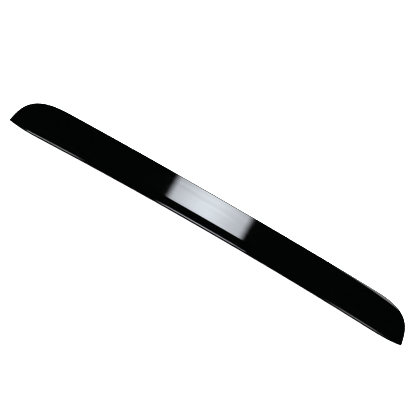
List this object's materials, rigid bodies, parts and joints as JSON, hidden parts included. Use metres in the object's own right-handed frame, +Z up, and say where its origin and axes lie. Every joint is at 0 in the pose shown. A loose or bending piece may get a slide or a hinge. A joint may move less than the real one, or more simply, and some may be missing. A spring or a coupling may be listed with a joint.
{
  "type": "roof spoiler",
  "caption": "Long gloss-black roof spoiler blade with rounded front corners, a kicked-up trailing lip and an open ribbed underside for bonding.",
  "frame": {"origin": "middle of the box's underside, on the plane that the blade stands on", "axes": "+X across the car, along the blade's length; +Y towards the car's front; +Z up"},
  "size_m": [1.15, 0.1084, 0.0478],
  "materials": {
    "gloss_black": "high-gloss black"
  },
  "bodies": {
    "root": {"spoiler_shell": "gloss_black"}
  },
  "joints": []
}
